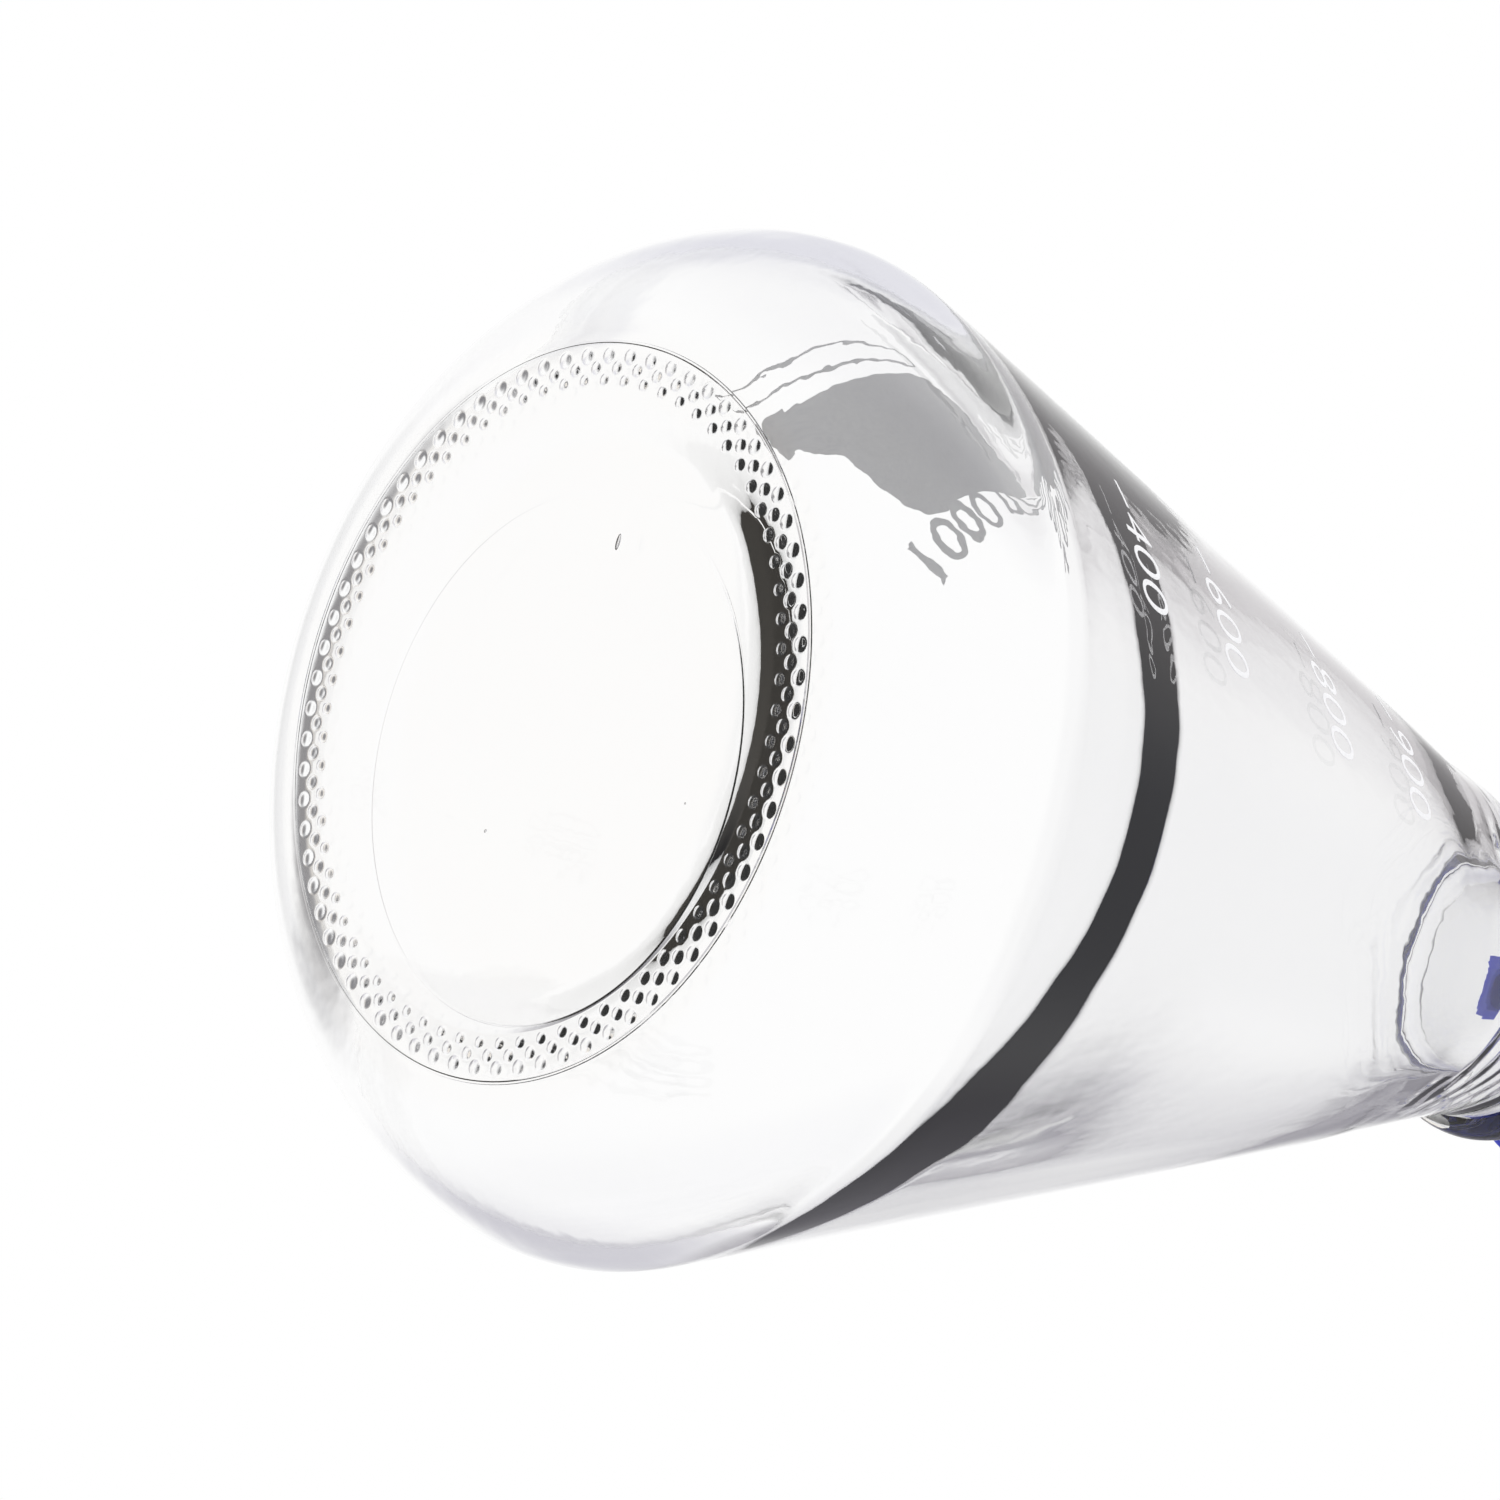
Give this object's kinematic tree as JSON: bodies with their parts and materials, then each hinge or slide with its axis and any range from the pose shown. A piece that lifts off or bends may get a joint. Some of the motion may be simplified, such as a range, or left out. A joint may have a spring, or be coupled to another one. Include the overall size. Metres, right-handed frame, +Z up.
{
  "type": "screw-neck conical flask",
  "caption": "Conical glass laboratory flask with stippled foot, beaded screw neck, pouring ring and ribbed plastic screw cap with sealing disc.",
  "frame": {"origin": "where the flask's axis meets the surface it stands on", "axes": "+Z up the axis from the foot to the cap"},
  "size_m": [0.1312, 0.1312, 0.2353],
  "materials": {
    "borosilicate_glass": "clear, fire polished",
    "blue_polypropylene": "injection moulded, satin",
    "clear_silicone": "smooth, translucent"
  },
  "bodies": {
    "flask": {"glass_flask": "borosilicate_glass"},
    "ring": {"pouring_ring": "blue_polypropylene"},
    "disc": {"sealing_disc": "clear_silicone"},
    "cap": {"screw_cap": "blue_polypropylene"}
  },
  "joints": [
    {"name": "ring_lift", "type": "slide", "parent": "flask", "child": "ring", "axis": [0, 0, 1], "range_m": [0, 0.04]},
    {"name": "cap_rise", "type": "slide", "parent": "ring", "child": "disc", "axis": [0, 0, 1], "range_m": [0, 0.006]},
    {"name": "cap_turn", "type": "hinge", "parent": "disc", "child": "cap", "pos_m": [0, 0, 0.218], "axis": [0, 0, 1], "range_deg": [0, 540]}
  ],
  "couplings": [
    {"joint": "cap_rise", "follows": "cap_turn", "m_per_rad": 0.0006366}
  ]
}
